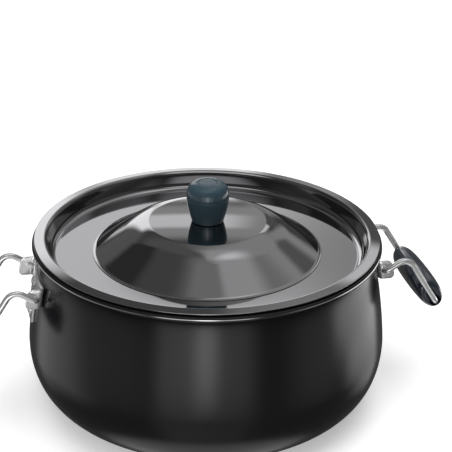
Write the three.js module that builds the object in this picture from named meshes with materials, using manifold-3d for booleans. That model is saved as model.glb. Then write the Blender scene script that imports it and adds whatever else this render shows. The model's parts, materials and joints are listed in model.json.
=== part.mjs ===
// Belly-shaped stovetop cooker: a spun pot with a rolled rim, a recessed lid with a raised dome and a
// knob, and two wire bail handles that swing on riveted brackets.
// Millimetres, +Z up. The origin is on the pot's axis, on the surface it stands on. The handles lie
// along X, and each is the other one turned half a turn round Z.
import * as THREE from 'three';
import { mergeVertices } from 'three/addons/utils/BufferGeometryUtils.js';
import Module from 'manifold-3d';

const wasm = await Module();
wasm.setup();

// ---------------------------------------------------------------- driving dimensions

// Smoothness
const ROUND_STEPS = 44; // facets round the pot and the lid, a multiple of four
const KNOB_STEPS = 24; // facets round the knob
const FASTENER_STEPS = 10; // facets round rivets and screws
const WIRE_SIDES = 8; // facets round a wire
const WIRE_STEPS = 56; // rings along a bail

// Clearances
const FIT_GAP = 0.3; // round a shank, a tongue or a pressing that lies against another piece
const SEAT_GAP = 0.1; // between flat faces that rest on each other

// Pot
const PLATE_THICKNESS = 2; // base plate bonded under the pot
const PLATE_RADIUS = 93;
const PLATE_EDGE = 0.8; // its rounded edge
const POT_HEIGHT = 140; // from the pot's underside to the top of its rim
const POT_WALL = 2.2;
const BASE_RADIUS = 99; // flat of the underside
const BELLY_RADIUS = 147;
const BELLY_HEIGHT = 55; // widest level, above the pot's underside
const SHOULDER_POWER = 1.3; // fullness of the belly above its widest level
const FOOT_POWER = 2.25; // and below it
const RIM_RADIUS = 141.6; // outside of the rolled rim
const NECK_INSET = 7.8; // neck in from the outside of the rim
const NECK_DROP = 7; // and below the top of it
const RIM_ROLL = 2.1; // radius of the roll
const RIM_ROLL_START = -120; // degrees; where the roll leaves the neck

// Lid
const LID_INSET = 1.6; // lid's edge in from the outside of the rim
const LID_SHEET = 1.4;
const GASKET_THICKNESS = 1.5; // between the rim and the lid's flange
const GASKET_INSET = 4; // gasket's outer edge, inside the rim's
const GASKET_LEG = 6; // depth of the leg in the pot's mouth
const FLANGE_WIDTH = 9;
const CHAMFER_WIDTH = 1.6; // bevel at the inner edge of the flange
const CHAMFER_DEPTH = 1.8;
const TROUGH_DEPTH = 14.5; // trough floor below the flange
const TROUGH_TAPER = 3; // how far the trough wall leans inwards
const COVE_RADIUS = 5; // where the wall turns into the floor
const DOME_RADIUS = 90.5; // foot of the dome's cone
const DOME_COVE = 2.2; // where the cone turns out into the brim
const BRIM_RADIUS = 93.2; // dome's narrow brim, which stands on the trough's floor
const STEAM_RADIUS = 84; // opening in the trough's floor under the dome
const EDGE_TURN = 60; // degrees; half of a pressing's rounded edge
const DOME_RISE = 10.5; // dome's flat top above the flange
const DISC_RADIUS = 47; // the flat top
const SHOULDER_RADIUS = 66; // where the dome's shoulder becomes its cone
const SHOULDER_DROP = 7.5; // that place below the flat top
const SHOULDER_CREASE = 1.2; // drop of the shoulder's first stretch, which leaves the flat's edge crisp

// Knob
const KNOB_BASE_RADIUS = 12.9;
const KNOB_BULGE = 2.2; // fullness of the body's side, a third of the way up
const KNOB_RADIUS = 17.2;
const KNOB_HEIGHT = 33.2;
const KNOB_SPLIT = 21.2; // parting line above the dome's flat
const CAP_BROW = 2.2; // cap's side drawn in at the brow
const CAP_CROWN = 3; // brow below the cap's top
const KNOB_EDGE = 0.5; // rounding on both sides of the parting line
const INSET_RADIUS = 7.6; // round plate in the top
const INSET_DEPTH = 1.2;
const SPIGOT_RADIUS = 9.7; // tongue of the cap in the knob's body
const SPIGOT_LENGTH = 3;
const INSERT_RADIUS = 4.5; // threaded bush in the knob's body
const INSERT_LENGTH = 12;
const KNOB_SCREW_RADIUS = 2;
const KNOB_SCREW_HEAD = 4.5;
const KNOB_SCREW_HEAD_HEIGHT = 2.4;
const SEAT_WASHER_RADIUS = 9;
const SEAT_WASHER_THICKNESS = 0.8;
const SCREW_WASHER_RADIUS = 7;
const SCREW_WASHER_THICKNESS = 1;

// Brackets
const BRACKET_SHEET = 1.6;
const TAB_WIDTH = 26; // upright part with the two rivets
const TAB_HEIGHT = 39;
const BAND_HEIGHT = 16; // cross band, which ends in the two ears
const CORNER_RADIUS = 4; // corners of the tab
const EAR_SPAN = 62; // over the outer faces of the ears
const EAR_REACH = 8; // ear beyond the pivot
const EAR_ROUND = 4.5; // corners of the ear
const RIVET_SPACING = 25;
const RIVET_RADIUS = 2;
const RIVET_HEAD = 3.8;
const RIVET_DOME = 2.2; // height of the outer head
const RIVET_TAIL = 1.2; // thickness of the head inside the pot

// Bails
const WIRE_RADIUS = 2.5;
const PIVOT_STANDOFF = 3.1; // pivot out from the pot's wall
const PIVOT_DROP = 32.2; // pivot below the lid's flange
const LEG_CLEARANCE = 1; // between a leg and the ear beside it
const TIP_LENGTH = 2.4; // wire tip past the inner face of the ear
const ARCH_REACH = 18.5; // top of the arch, out from the pivot
const ARCH_RISE = 11.5; // and up from it
const LEG_LENGTH = 54; // from the arch to the cross bar
const LEG_SLOPE = 57.5; // degrees below level
const ARCH_BEND = 9;
const CORNER_BEND = 7;

// Grips
const GRIP_LENGTH = 71; // along the cross bar
const GRIP_DEPTH = 33; // along the legs
const GRIP_THICKNESS = 21.5;
const GRIP_LIP = 5; // grip beyond the axis of the cross bar
const GRIP_END_ROUND = 9; // length of the rounded end
const GRIP_END_SHRINK = 5; // and how much it narrows all round
const GRIP_SCREW_SPACING = 34;
const GRIP_SCREW_RADIUS = 1.5;
const GRIP_SCREW_HEAD = 3;
const GRIP_SCREW_HEAD_HEIGHT = 2;
const GRIP_SCREW_SINK = 3; // head below the surface
const GRIP_SCREW_BITE = 5; // thread in the outer half

// ---------------------------------------------------------------- levels and places

const NECK_RADIUS = RIM_RADIUS - NECK_INSET;
const LID_RADIUS = RIM_RADIUS - LID_INSET;
const FLOOR_Z = PLATE_THICKNESS + SEAT_GAP; // pot's underside
const RIM_Z = FLOOR_Z + POT_HEIGHT;
const BELLY_Z = FLOOR_Z + BELLY_HEIGHT;
const NECK_Z = RIM_Z - NECK_DROP;
const MOUTH_RADIUS = NECK_RADIUS - POT_WALL;
const FLANGE_Z = RIM_Z + GASKET_THICKNESS + 2 * SEAT_GAP + LID_SHEET;
const DISC_Z = FLANGE_Z + DOME_RISE;
const PIVOT_Z = FLANGE_Z - PIVOT_DROP;
const TAB_Z = PIVOT_Z - (TAB_HEIGHT - BAND_HEIGHT) / 2; // its top is flush with the band's
// The tip bends into the leg just outside the ear.
const TIP_BEND = LEG_CLEARANCE + WIRE_RADIUS;
const LEG_Y = EAR_SPAN / 2 + TIP_BEND;
// A facet of the turned pieces faces each handle, and its middle lies this much nearer the axis.
const FACET_MIDDLE = Math.cos(Math.PI / ROUND_STEPS);

// ---------------------------------------------------------------- materials

function finish(color, roughness, metalness) {
  return () => new THREE.MeshStandardMaterial({ color, roughness, metalness });
}

const darkAnodised = finish(0x2b2b2d, 0.38, 0.6);
const polishedLid = finish(0x8d8d90, 0.2, 0.9);
const polishedSteel = finish(0xc9c9c9, 0.18, 1);
const satinSteel = finish(0x9a9a9c, 0.35, 1);
const navyPlastic = finish(0x28394a, 0.22, 0);
const blackRubber = finish(0x141414, 0.7, 0);
const brass = finish(0xb08d4a, 0.3, 1);

// ---------------------------------------------------------------- outlines

const point = (x, y) => new THREE.Vector2(x, y);

// Points of a round stretch, from one angle to the other, in degrees.
function arc(centre, radius, from, to, steps) {
  const points = [];
  for (let i = 0; i <= steps; i += 1) {
    const angle = THREE.MathUtils.degToRad(from + ((to - from) * i) / steps);
    points.push(point(centre.x + radius * Math.cos(angle), centre.y + radius * Math.sin(angle)));
  }
  return points;
}

// Points of a curve that leaves the first point towards the second and arrives at the third from it.
function bend(start, corner, end, steps) {
  return new THREE.QuadraticBezierCurve(start, corner, end).getPoints(steps);
}

// An open outline moved sideways by a distance, to its left as it is walked.
function offset(points, distance) {
  return points.map((here, i) => {
    const before = points[Math.max(i - 1, 0)];
    const after = points[Math.min(i + 1, points.length - 1)];
    const into = here.clone().sub(before).normalize();
    const out = after.clone().sub(here).normalize();
    const along = into.clone().add(out).normalize();
    const half = i === 0 || i === points.length - 1 ? 1 : along.dot(out);
    return point(here.x - (along.y * distance) / half, here.y + (along.x * distance) / half);
  });
}

// A straight-sided outline with its corners rounded.
function roundedShape(corners, radius) {
  const shape = new THREE.Shape();
  corners.forEach((corner, i) => {
    const before = corners[(i + corners.length - 1) % corners.length];
    const after = corners[(i + 1) % corners.length];
    const start = corner.clone().add(before.clone().sub(corner).setLength(radius));
    const end = corner.clone().add(after.clone().sub(corner).setLength(radius));
    if (i === 0) {
      shape.moveTo(start.x, start.y);
    } else {
      shape.lineTo(start.x, start.y);
    }
    shape.quadraticCurveTo(corner.x, corner.y, end.x, end.y);
  });
  shape.closePath();
  return shape;
}

// ---------------------------------------------------------------- solids

// A closed outline of radius and height, turned round the Z axis.
function turned(outline, steps) {
  const closed = outline[0].x === 0 ? outline : [...outline, outline[0].clone()];
  const points = THREE.ShapeUtils.area(outline) > 0 ? closed : closed.reverse();
  const geometry = new THREE.LatheGeometry(points, steps, Math.PI / steps);
  return geometry.rotateX(Math.PI / 2);
}

function toSolid(geometry) {
  const bare = geometry.clone();
  bare.deleteAttribute('normal');
  bare.deleteAttribute('uv');
  const merged = mergeVertices(bare, 1e-4);
  const corners = merged.index.array;
  const faces = [];
  for (let i = 0; i < corners.length; i += 3) {
    const [a, b, c] = corners.slice(i, i + 3);
    if (a !== b && b !== c && c !== a) {
      faces.push(a, b, c);
    }
  }
  const mesh = new wasm.Mesh({
    numProp: 3,
    vertProperties: new Float32Array(merged.attributes.position.array),
    triVerts: new Uint32Array(faces),
  });
  return new wasm.Manifold(mesh);
}

function toGeometry(solid) {
  const mesh = solid.getMesh();
  const geometry = new THREE.BufferGeometry();
  geometry.setAttribute('position', new THREE.BufferAttribute(mesh.vertProperties, 3));
  geometry.setIndex(new THREE.BufferAttribute(mesh.triVerts, 1));
  return geometry;
}

function cylinder(radius, length, steps) {
  return new THREE.CylinderGeometry(radius, radius, length, steps).rotateX(Math.PI / 2);
}

// A round corner between two straight stretches, which leave it along two directions.
class RoundCorner extends THREE.Curve {
  constructor(corner, back, forward, radius) {
    super();
    const half = back.angleTo(forward) / 2;
    const trim = radius / Math.tan(half);
    const middle = back.clone().add(forward).setLength(radius / Math.sin(half));
    this.start = corner.clone().addScaledVector(back, trim);
    this.end = corner.clone().addScaledVector(forward, trim);
    this.centre = corner.clone().add(middle);
    this.turn = Math.PI - 2 * half;
  }

  getPoint(share, target = new THREE.Vector3()) {
    const from = this.start.clone().sub(this.centre).multiplyScalar(Math.sin((1 - share) * this.turn));
    const to = this.end.clone().sub(this.centre).multiplyScalar(Math.sin(share * this.turn));
    return target.copy(from.add(to).divideScalar(Math.sin(this.turn)).add(this.centre));
  }
}

// A path of straight stretches with rounded corners. Each corner has its place and its radius.
function roundedPath(corners) {
  const path = new THREE.CurvePath();
  let from = corners[0].at;
  for (let i = 1; i < corners.length - 1; i += 1) {
    const { at, radius } = corners[i];
    const back = corners[i - 1].at.clone().sub(at).normalize();
    const forward = corners[i + 1].at.clone().sub(at).normalize();
    const corner = new RoundCorner(at, back, forward, radius);
    path.add(new THREE.LineCurve3(from, corner.start));
    path.add(corner);
    from = corner.end;
  }
  path.add(new THREE.LineCurve3(from, corners[corners.length - 1].at));
  return path;
}

// A round bar along a path.
function bar(path, radius) {
  const section = new THREE.Shape().absarc(0, 0, radius, 0, Math.PI * 2);
  return new THREE.ExtrudeGeometry(section, {
    steps: WIRE_STEPS,
    curveSegments: WIRE_SIDES / 2,
    extrudePath: path,
  });
}

const model = new THREE.Group();

function addPiece(group, name, geometry, material) {
  const piece = new THREE.Mesh(geometry, material());
  piece.name = name;
  group.add(piece);
  return piece;
}

// ---------------------------------------------------------------- pot

// Half of the belly's outline, from its widest level to its end at the neck or the underside.
function bellyCurve(endRadius, endZ, power, steps) {
  const points = [];
  for (let i = 0; i <= steps; i += 1) {
    const angle = ((i / steps) * Math.PI) / 2;
    const across = Math.abs(Math.cos(angle)) ** (2 / power);
    const along = Math.sin(angle) ** (2 / power);
    const radius = endRadius + (BELLY_RADIUS - endRadius) * across;
    points.push(point(radius, BELLY_Z + (endZ - BELLY_Z) * along));
  }
  return points;
}

// The outside of the pot from the middle of its underside up to the neck.
function potOutside() {
  const foot = bellyCurve(BASE_RADIUS, FLOOR_Z, FOOT_POWER, 8).reverse();
  const shoulder = bellyCurve(NECK_RADIUS, NECK_Z, SHOULDER_POWER, 5);
  return [point(0, FLOOR_Z), ...foot, ...shoulder.slice(1)];
}

// The pot's outside radius at a level, on the facet that faces a handle.
function wallRadius(z) {
  const outside = potOutside();
  const above = outside.findIndex((place, i) => i > 1 && place.y >= z);
  const low = outside[above - 1];
  const high = outside[above];
  const share = (z - low.y) / (high.y - low.y);
  return (low.x + (high.x - low.x) * share) * FACET_MIDDLE;
}

// The straight line across the wall under a rivet's head: its middle, its lean, and how far the wall
// bulges beyond it.
function rivetSeat(z) {
  const low = wallRadius(z - RIVET_HEAD);
  const high = wallRadius(z + RIVET_HEAD);
  const radius = (low + high) / 2;
  return { radius, lean: Math.atan2(low - high, 2 * RIVET_HEAD), bulge: wallRadius(z) - radius };
}

function potShell() {
  const outside = potOutside();
  const rollCentre = point(RIM_RADIUS - RIM_ROLL, RIM_Z - RIM_ROLL);
  const roll = arc(rollCentre, RIM_ROLL, RIM_ROLL_START, 90, 6);
  const lip = bend(
    point(MOUTH_RADIUS + RIM_ROLL, RIM_Z),
    point(MOUTH_RADIUS, RIM_Z),
    point(MOUTH_RADIUS, RIM_Z - RIM_ROLL),
    2,
  );
  const inside = offset(outside, POT_WALL).reverse();
  inside[inside.length - 1].x = 0;
  return turned([...outside, ...roll, ...lip, ...inside], ROUND_STEPS);
}

// Rivets stand square to the wall, above and below the tab's middle.
const rivetPlaces = [
  { name: 'upper', z: TAB_Z + RIVET_SPACING / 2 },
  { name: 'lower', z: TAB_Z - RIVET_SPACING / 2 },
];

const PIVOT_RADIUS = wallRadius(PIVOT_Z) + PIVOT_STANDOFF;

function standOnWall(geometry, z) {
  const { radius, lean } = rivetSeat(z);
  geometry.rotateY(Math.PI / 2 - lean);
  return geometry.translate(radius, 0, z);
}

function rivetHole(z) {
  return toSolid(standOnWall(cylinder(RIVET_RADIUS + FIT_GAP, 20, FASTENER_STEPS), z));
}

function potBody() {
  let pot = toSolid(potShell());
  for (const { z } of rivetPlaces) {
    const hole = rivetHole(z);
    pot = pot.subtract(hole).subtract(hole.rotate([0, 0, 180]));
  }
  return toGeometry(pot);
}

function basePlate() {
  const outline = [
    point(0, 0),
    point(PLATE_RADIUS - PLATE_EDGE, 0),
    point(PLATE_RADIUS, PLATE_EDGE),
    point(PLATE_RADIUS, PLATE_THICKNESS),
    point(0, PLATE_THICKNESS),
  ];
  return turned(outline, ROUND_STEPS);
}

addPiece(model, 'pot_body', potBody(), darkAnodised);
addPiece(model, 'base_plate', basePlate(), satinSteel);

// ---------------------------------------------------------------- lid

const TROUGH_Z = FLANGE_Z - TROUGH_DEPTH;
const FLANGE_INNER = LID_RADIUS - FLANGE_WIDTH;
const WALL_TOP = FLANGE_INNER - CHAMFER_WIDTH;
const WALL_FOOT = WALL_TOP - TROUGH_TAPER;

// A pressing: its upper face walked outwards, a rounded outer edge, and the same face below.
function pressing(face) {
  const rim = face[face.length - 1];
  const edge = arc(point(rim.x, rim.y - LID_SHEET / 2), LID_SHEET / 2, EDGE_TURN, -EDGE_TURN, 2);
  const underside = offset(face, -LID_SHEET).reverse();
  return turned([...face, ...edge, ...underside], ROUND_STEPS);
}

// The dome, from the screw hole out to its brim.
function lidDome() {
  const shoulderZ = DISC_Z - SHOULDER_DROP;
  const crease = (DISC_RADIUS + SHOULDER_RADIUS) / 2;
  const footZ = TROUGH_Z + SEAT_GAP + LID_SHEET;
  const foot = point(DOME_RADIUS, footZ);
  const cone = point(SHOULDER_RADIUS, shoulderZ).sub(foot).setLength(DOME_COVE).add(foot);
  return pressing([
    point(KNOB_SCREW_RADIUS + FIT_GAP, DISC_Z),
    ...bend(
      point(DISC_RADIUS, DISC_Z),
      point(crease, DISC_Z - SHOULDER_CREASE),
      point(SHOULDER_RADIUS, shoulderZ),
      4,
    ),
    ...bend(cone, foot, point(BRIM_RADIUS - LID_SHEET / 2, footZ), 3),
  ]);
}

// The pan: the trough's floor and wall, and the flange that lies over the pot's rim.
function lidPan() {
  return pressing([
    point(STEAM_RADIUS, TROUGH_Z),
    ...bend(
      point(WALL_FOOT - COVE_RADIUS, TROUGH_Z),
      point(WALL_FOOT, TROUGH_Z),
      point(WALL_FOOT + TROUGH_TAPER * (COVE_RADIUS / TROUGH_DEPTH), TROUGH_Z + COVE_RADIUS),
      3,
    ),
    point(WALL_TOP, FLANGE_Z - CHAMFER_DEPTH),
    point(FLANGE_INNER, FLANGE_Z),
    point(LID_RADIUS - LID_SHEET / 2, FLANGE_Z),
  ]);
}

// The gasket lies on the rim, and its leg fills the ring between the trough's wall and the pot's mouth.
function lidGasket() {
  const top = RIM_Z + SEAT_GAP + GASKET_THICKNESS;
  const bottom = RIM_Z + SEAT_GAP;
  const legFoot = bottom - GASKET_LEG;
  const legOuter = MOUTH_RADIUS - FIT_GAP;
  const lean = TROUGH_TAPER / (TROUGH_DEPTH - CHAMFER_DEPTH);
  const sheetAcross = LID_SHEET * Math.hypot(1, lean);
  const chamferZ = FLANGE_Z - CHAMFER_DEPTH;
  const innerAt = (z) => WALL_TOP - (chamferZ - z) * lean + sheetAcross + FIT_GAP;
  const topInner = FLANGE_INNER + LID_SHEET + FIT_GAP;
  const outline = [
    point(topInner, top),
    point(RIM_RADIUS - GASKET_INSET, top),
    point(RIM_RADIUS - GASKET_INSET, bottom),
    ...bend(
      point(MOUTH_RADIUS + RIM_ROLL, bottom),
      point(legOuter, bottom),
      point(legOuter, bottom - RIM_ROLL),
      2,
    ),
    point(legOuter, legFoot),
    point(innerAt(legFoot), legFoot),
    point(innerAt(bottom - RIM_ROLL), bottom - RIM_ROLL),
  ];
  return turned(outline, ROUND_STEPS);
}

const lid = new THREE.Group();
model.add(lid);
addPiece(lid, 'lid_pan', lidPan(), polishedLid);
addPiece(lid, 'lid_dome', lidDome(), polishedLid);
addPiece(lid, 'lid_gasket', lidGasket(), blackRubber);

// ---------------------------------------------------------------- knob

function ring(inner, outer, bottom, top, steps) {
  const outline = [point(inner, bottom), point(outer, bottom), point(outer, top), point(inner, top)];
  return turned(outline, steps);
}

const KNOB_Z = DISC_Z + FIT_GAP; // knob's lower edge
const SPLIT_Z = DISC_Z + KNOB_SPLIT;
const KNOB_TOP = DISC_Z + KNOB_HEIGHT;
const INSERT_Z = DISC_Z + SEAT_GAP * 2 + SEAT_WASHER_THICKNESS;

// The body swells to the parting line. Under it lie the washer's recess and the bush's bore.
function knobBody() {
  const side = new THREE.CubicBezierCurve(
    point(KNOB_BASE_RADIUS, KNOB_Z + KNOB_EDGE),
    point(KNOB_BASE_RADIUS + KNOB_BULGE, KNOB_Z + KNOB_SPLIT / 3),
    point(KNOB_RADIUS - KNOB_EDGE, SPLIT_Z - KNOB_SPLIT / 3),
    point(KNOB_RADIUS, SPLIT_Z - KNOB_EDGE),
  ).getPoints(7);
  const recessTop = INSERT_Z;
  const boreTop = INSERT_Z + INSERT_LENGTH + FIT_GAP;
  const socketFloor = SPLIT_Z - SPIGOT_LENGTH - FIT_GAP;
  const outline = [
    point(KNOB_BASE_RADIUS - KNOB_EDGE, KNOB_Z),
    ...side,
    point(KNOB_RADIUS - KNOB_EDGE, SPLIT_Z),
    point(SPIGOT_RADIUS + FIT_GAP, SPLIT_Z),
    point(SPIGOT_RADIUS + FIT_GAP, socketFloor),
    point(0, socketFloor),
    point(0, boreTop),
    point(INSERT_RADIUS + FIT_GAP, boreTop),
    point(INSERT_RADIUS + FIT_GAP, recessTop),
    point(SEAT_WASHER_RADIUS + FIT_GAP, recessTop),
    point(SEAT_WASHER_RADIUS + FIT_GAP, KNOB_Z),
  ];
  return turned(startOnAxis(outline), KNOB_STEPS);
}

// The same closed outline, begun at the point where it comes off the axis.
function startOnAxis(outline) {
  const start = outline.findIndex((here, i) => here.x === 0 && outline[i - 1]?.x === 0);
  return [...outline.slice(start), ...outline.slice(0, start)];
}

// The domed cap, with a shallow round recess in its top and a tongue under it.
function knobCap() {
  const bottom = SPLIT_Z + SEAT_GAP;
  const recessRadius = INSET_RADIUS + FIT_GAP;
  const brow = bend(
    point(KNOB_RADIUS, bottom + KNOB_EDGE),
    point(KNOB_RADIUS, KNOB_TOP - 2 * CAP_CROWN),
    point(KNOB_RADIUS - CAP_BROW, KNOB_TOP - CAP_CROWN),
    3,
  );
  const crown = bend(
    brow[brow.length - 1],
    point(KNOB_RADIUS - 2 * CAP_BROW, KNOB_TOP - SEAT_GAP),
    point(recessRadius, KNOB_TOP),
    4,
  );
  const outline = [
    point(0, bottom - SPIGOT_LENGTH),
    point(SPIGOT_RADIUS, bottom - SPIGOT_LENGTH),
    point(SPIGOT_RADIUS, bottom),
    point(KNOB_RADIUS - KNOB_EDGE, bottom),
    ...brow,
    ...crown.slice(1),
    point(recessRadius, KNOB_TOP - INSET_DEPTH),
    point(0, KNOB_TOP - INSET_DEPTH),
  ];
  return turned(outline, KNOB_STEPS);
}

function knobInset() {
  const bottom = KNOB_TOP - INSET_DEPTH + SEAT_GAP;
  const outline = [
    point(0, bottom),
    point(INSET_RADIUS, bottom),
    point(INSET_RADIUS, KNOB_TOP - 2 * SEAT_GAP),
    point(INSET_RADIUS - KNOB_EDGE, KNOB_TOP),
    point(0, KNOB_TOP),
  ];
  return turned(outline, KNOB_STEPS);
}

const LID_UNDERSIDE = DISC_Z - LID_SHEET;
const SCREW_WASHER_Z = LID_UNDERSIDE - SEAT_GAP - SCREW_WASHER_THICKNESS;

function knobScrew() {
  const head = SCREW_WASHER_Z - SEAT_GAP;
  const tip = INSERT_Z + INSERT_LENGTH - KNOB_SCREW_RADIUS;
  const outline = [
    point(0, head - KNOB_SCREW_HEAD_HEIGHT),
    point(KNOB_SCREW_HEAD - KNOB_EDGE, head - KNOB_SCREW_HEAD_HEIGHT),
    point(KNOB_SCREW_HEAD, head - KNOB_SCREW_HEAD_HEIGHT + KNOB_EDGE),
    point(KNOB_SCREW_HEAD, head),
    point(KNOB_SCREW_RADIUS, head),
    point(KNOB_SCREW_RADIUS, tip - KNOB_EDGE),
    point(KNOB_SCREW_RADIUS - KNOB_EDGE, tip),
    point(0, tip),
  ];
  return turned(outline, FASTENER_STEPS);
}

const screwHole = KNOB_SCREW_RADIUS + FIT_GAP;
const seatWasher = ring(
  screwHole,
  SEAT_WASHER_RADIUS,
  DISC_Z + SEAT_GAP,
  DISC_Z + SEAT_GAP + SEAT_WASHER_THICKNESS,
  KNOB_STEPS,
);
const insert = ring(screwHole, INSERT_RADIUS, INSERT_Z + SEAT_GAP, INSERT_Z + INSERT_LENGTH, FASTENER_STEPS);
const screwWasher = ring(
  screwHole,
  SCREW_WASHER_RADIUS,
  SCREW_WASHER_Z,
  SCREW_WASHER_Z + SCREW_WASHER_THICKNESS,
  KNOB_STEPS,
);
addPiece(lid, 'knob_body', knobBody(), navyPlastic);
addPiece(lid, 'knob_cap', knobCap(), navyPlastic);
addPiece(lid, 'knob_inset', knobInset(), navyPlastic);
addPiece(lid, 'knob_seat_washer', seatWasher, blackRubber);
addPiece(lid, 'knob_insert', insert, brass);
addPiece(lid, 'knob_screw', knobScrew(), satinSteel);
addPiece(lid, 'knob_screw_washer', screwWasher, satinSteel);

// ---------------------------------------------------------------- brackets

// The pot's outside grown by a distance, as a full turned solid.
function grownPot(distance) {
  const outside = offset(potOutside(), -distance);
  outside[0].x = 0;
  const top = outside[outside.length - 1];
  return toSolid(turned([...outside, point(0, top.y)], ROUND_STEPS));
}

// A slab that is extruded along X, from an outline drawn in Y and Z.
function slabAlongX(shape, from, to) {
  const slab = new THREE.ExtrudeGeometry(shape, { depth: to - from, bevelEnabled: false, curveSegments: 3 });
  slab.rotateX(Math.PI / 2).rotateZ(Math.PI / 2);
  return slab.translate(from, 0, 0);
}

// A slab that is extruded along Y, from an outline drawn in X and Z.
function slabAlongY(shape, from, to) {
  const slab = new THREE.ExtrudeGeometry(shape, { depth: to - from, bevelEnabled: false, curveSegments: 4 });
  slab.rotateX(Math.PI / 2);
  return slab.translate(0, to, 0);
}

function box(x, y, z, centreX, centreY, centreZ) {
  return new THREE.BoxGeometry(x, y, z).translate(centreX, centreY, centreZ);
}

// One ear: an upright plate with rounded corners round the pivot.
function ear(outerY) {
  const root = NECK_RADIUS / 2;
  const reach = PIVOT_RADIUS + EAR_REACH;
  const half = BAND_HEIGHT / 2;
  const corners = [
    point(root, PIVOT_Z - half),
    point(reach, PIVOT_Z - half),
    point(reach, PIVOT_Z + half),
    point(root, PIVOT_Z + half),
  ];
  const inner = outerY - Math.sign(outerY) * BRACKET_SHEET;
  const plate = slabAlongY(roundedShape(corners, EAR_ROUND), Math.min(inner, outerY), Math.max(inner, outerY));
  return toSolid(plate);
}

// A pressing that follows the wall: an upright tab with two rivet holes, crossed by a band that ends in
// two ears.
function bracket() {
  const reach = BELLY_RADIUS + FIT_GAP + 2 * BRACKET_SHEET;
  const tabCorners = [
    point(-TAB_WIDTH / 2, TAB_Z - TAB_HEIGHT / 2),
    point(TAB_WIDTH / 2, TAB_Z - TAB_HEIGHT / 2),
    point(TAB_WIDTH / 2, TAB_Z + TAB_HEIGHT / 2),
    point(-TAB_WIDTH / 2, TAB_Z + TAB_HEIGHT / 2),
  ];
  const tab = toSolid(slabAlongX(roundedShape(tabCorners, CORNER_RADIUS), NECK_RADIUS / 2, reach));
  const bandLength = reach - NECK_RADIUS / 2;
  const bandMiddle = (reach + NECK_RADIUS / 2) / 2;
  const band = toSolid(box(bandLength, EAR_SPAN, BAND_HEIGHT, bandMiddle, 0, PIVOT_Z));
  const sheet = grownPot(FIT_GAP + BRACKET_SHEET).intersect(tab.add(band));
  const pinHole = toSolid(
    cylinder(WIRE_RADIUS + FIT_GAP, EAR_SPAN * 2, WIRE_SIDES * 2)
      .rotateX(Math.PI / 2)
      .translate(PIVOT_RADIUS, 0, PIVOT_Z),
  );
  let plate = sheet.add(ear(EAR_SPAN / 2)).add(ear(-EAR_SPAN / 2)).subtract(grownPot(FIT_GAP));
  plate = plate.subtract(pinHole);
  for (const { z } of rivetPlaces) {
    plate = plate.subtract(rivetHole(z));
  }
  return toGeometry(plate);
}

// A rivet with a domed head outside and a flat head inside the pot.
function rivet(z) {
  const seat = FIT_GAP + BRACKET_SHEET + SEAT_GAP + rivetSeat(z).bulge;
  const dome = bend(
    point(RIVET_HEAD, seat + RIVET_DOME / 4),
    point(RIVET_HEAD * 0.8, seat + RIVET_DOME),
    point(0, seat + RIVET_DOME),
    3,
  );
  const inside = -POT_WALL - SEAT_GAP;
  const outline = [
    point(0, inside - RIVET_TAIL),
    point(RIVET_HEAD, inside - RIVET_TAIL),
    point(RIVET_HEAD, inside),
    point(RIVET_RADIUS, inside),
    point(RIVET_RADIUS, seat),
    point(RIVET_HEAD, seat),
    ...dome,
  ];
  return standOnWall(turned(outline, FASTENER_STEPS), z);
}

// ---------------------------------------------------------------- bails

const slope = THREE.MathUtils.degToRad(LEG_SLOPE);
const ARCH = { x: PIVOT_RADIUS + ARCH_REACH, z: PIVOT_Z + ARCH_RISE };
const CROSS_BAR = { x: ARCH.x + LEG_LENGTH * Math.cos(slope), z: ARCH.z - LEG_LENGTH * Math.sin(slope) };

// From one tip, which points inwards through its ear, over the arch, down the leg, and across.
function bailPath() {
  const tipY = EAR_SPAN / 2 - BRACKET_SHEET - TIP_LENGTH;
  const side = (sign) => [
    { at: new THREE.Vector3(PIVOT_RADIUS, sign * tipY, PIVOT_Z), radius: 0 },
    { at: new THREE.Vector3(PIVOT_RADIUS, sign * LEG_Y, PIVOT_Z), radius: TIP_BEND },
    { at: new THREE.Vector3(ARCH.x, sign * LEG_Y, ARCH.z), radius: ARCH_BEND },
    { at: new THREE.Vector3(CROSS_BAR.x, sign * LEG_Y, CROSS_BAR.z), radius: CORNER_BEND },
  ];
  return roundedPath([...side(1), ...side(-1).reverse()]);
}

// ---------------------------------------------------------------- grips

// The grip's own frame: X along the legs, Y out of its face, Z along the cross bar, middle at the origin.
const legDirection = new THREE.Vector3(Math.cos(slope), 0, -Math.sin(slope));
const faceDirection = new THREE.Vector3(Math.sin(slope), 0, Math.cos(slope));
const gripCentre = new THREE.Vector3(CROSS_BAR.x, 0, CROSS_BAR.z).addScaledVector(
  legDirection,
  GRIP_LIP - GRIP_DEPTH / 2,
);
const gripFrame = new THREE.Matrix4()
  .makeBasis(legDirection, faceDirection, new THREE.Vector3(0, -1, 0))
  .setPosition(gripCentre);
const toGripFrame = gripFrame.clone().invert();
const screwLevels = [-GRIP_SCREW_SPACING / 2, GRIP_SCREW_SPACING / 2];
const GRIP_SCREW_Y = -GRIP_THICKNESS / 2 + GRIP_SCREW_SINK; // underside of the head's outer face

function gripBlank() {
  const section = new THREE.Shape();
  section.absellipse(0, 0, GRIP_DEPTH / 2, GRIP_THICKNESS / 2, 0, Math.PI * 2);
  const blank = new THREE.ExtrudeGeometry(section, {
    depth: GRIP_LENGTH - 2 * GRIP_END_ROUND,
    curveSegments: 10,
    bevelThickness: GRIP_END_ROUND,
    bevelSize: GRIP_END_SHRINK,
    bevelOffset: -GRIP_END_SHRINK,
    bevelSegments: 3,
  });
  return toSolid(blank.translate(0, 0, -GRIP_LENGTH / 2 + GRIP_END_ROUND));
}

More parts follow.
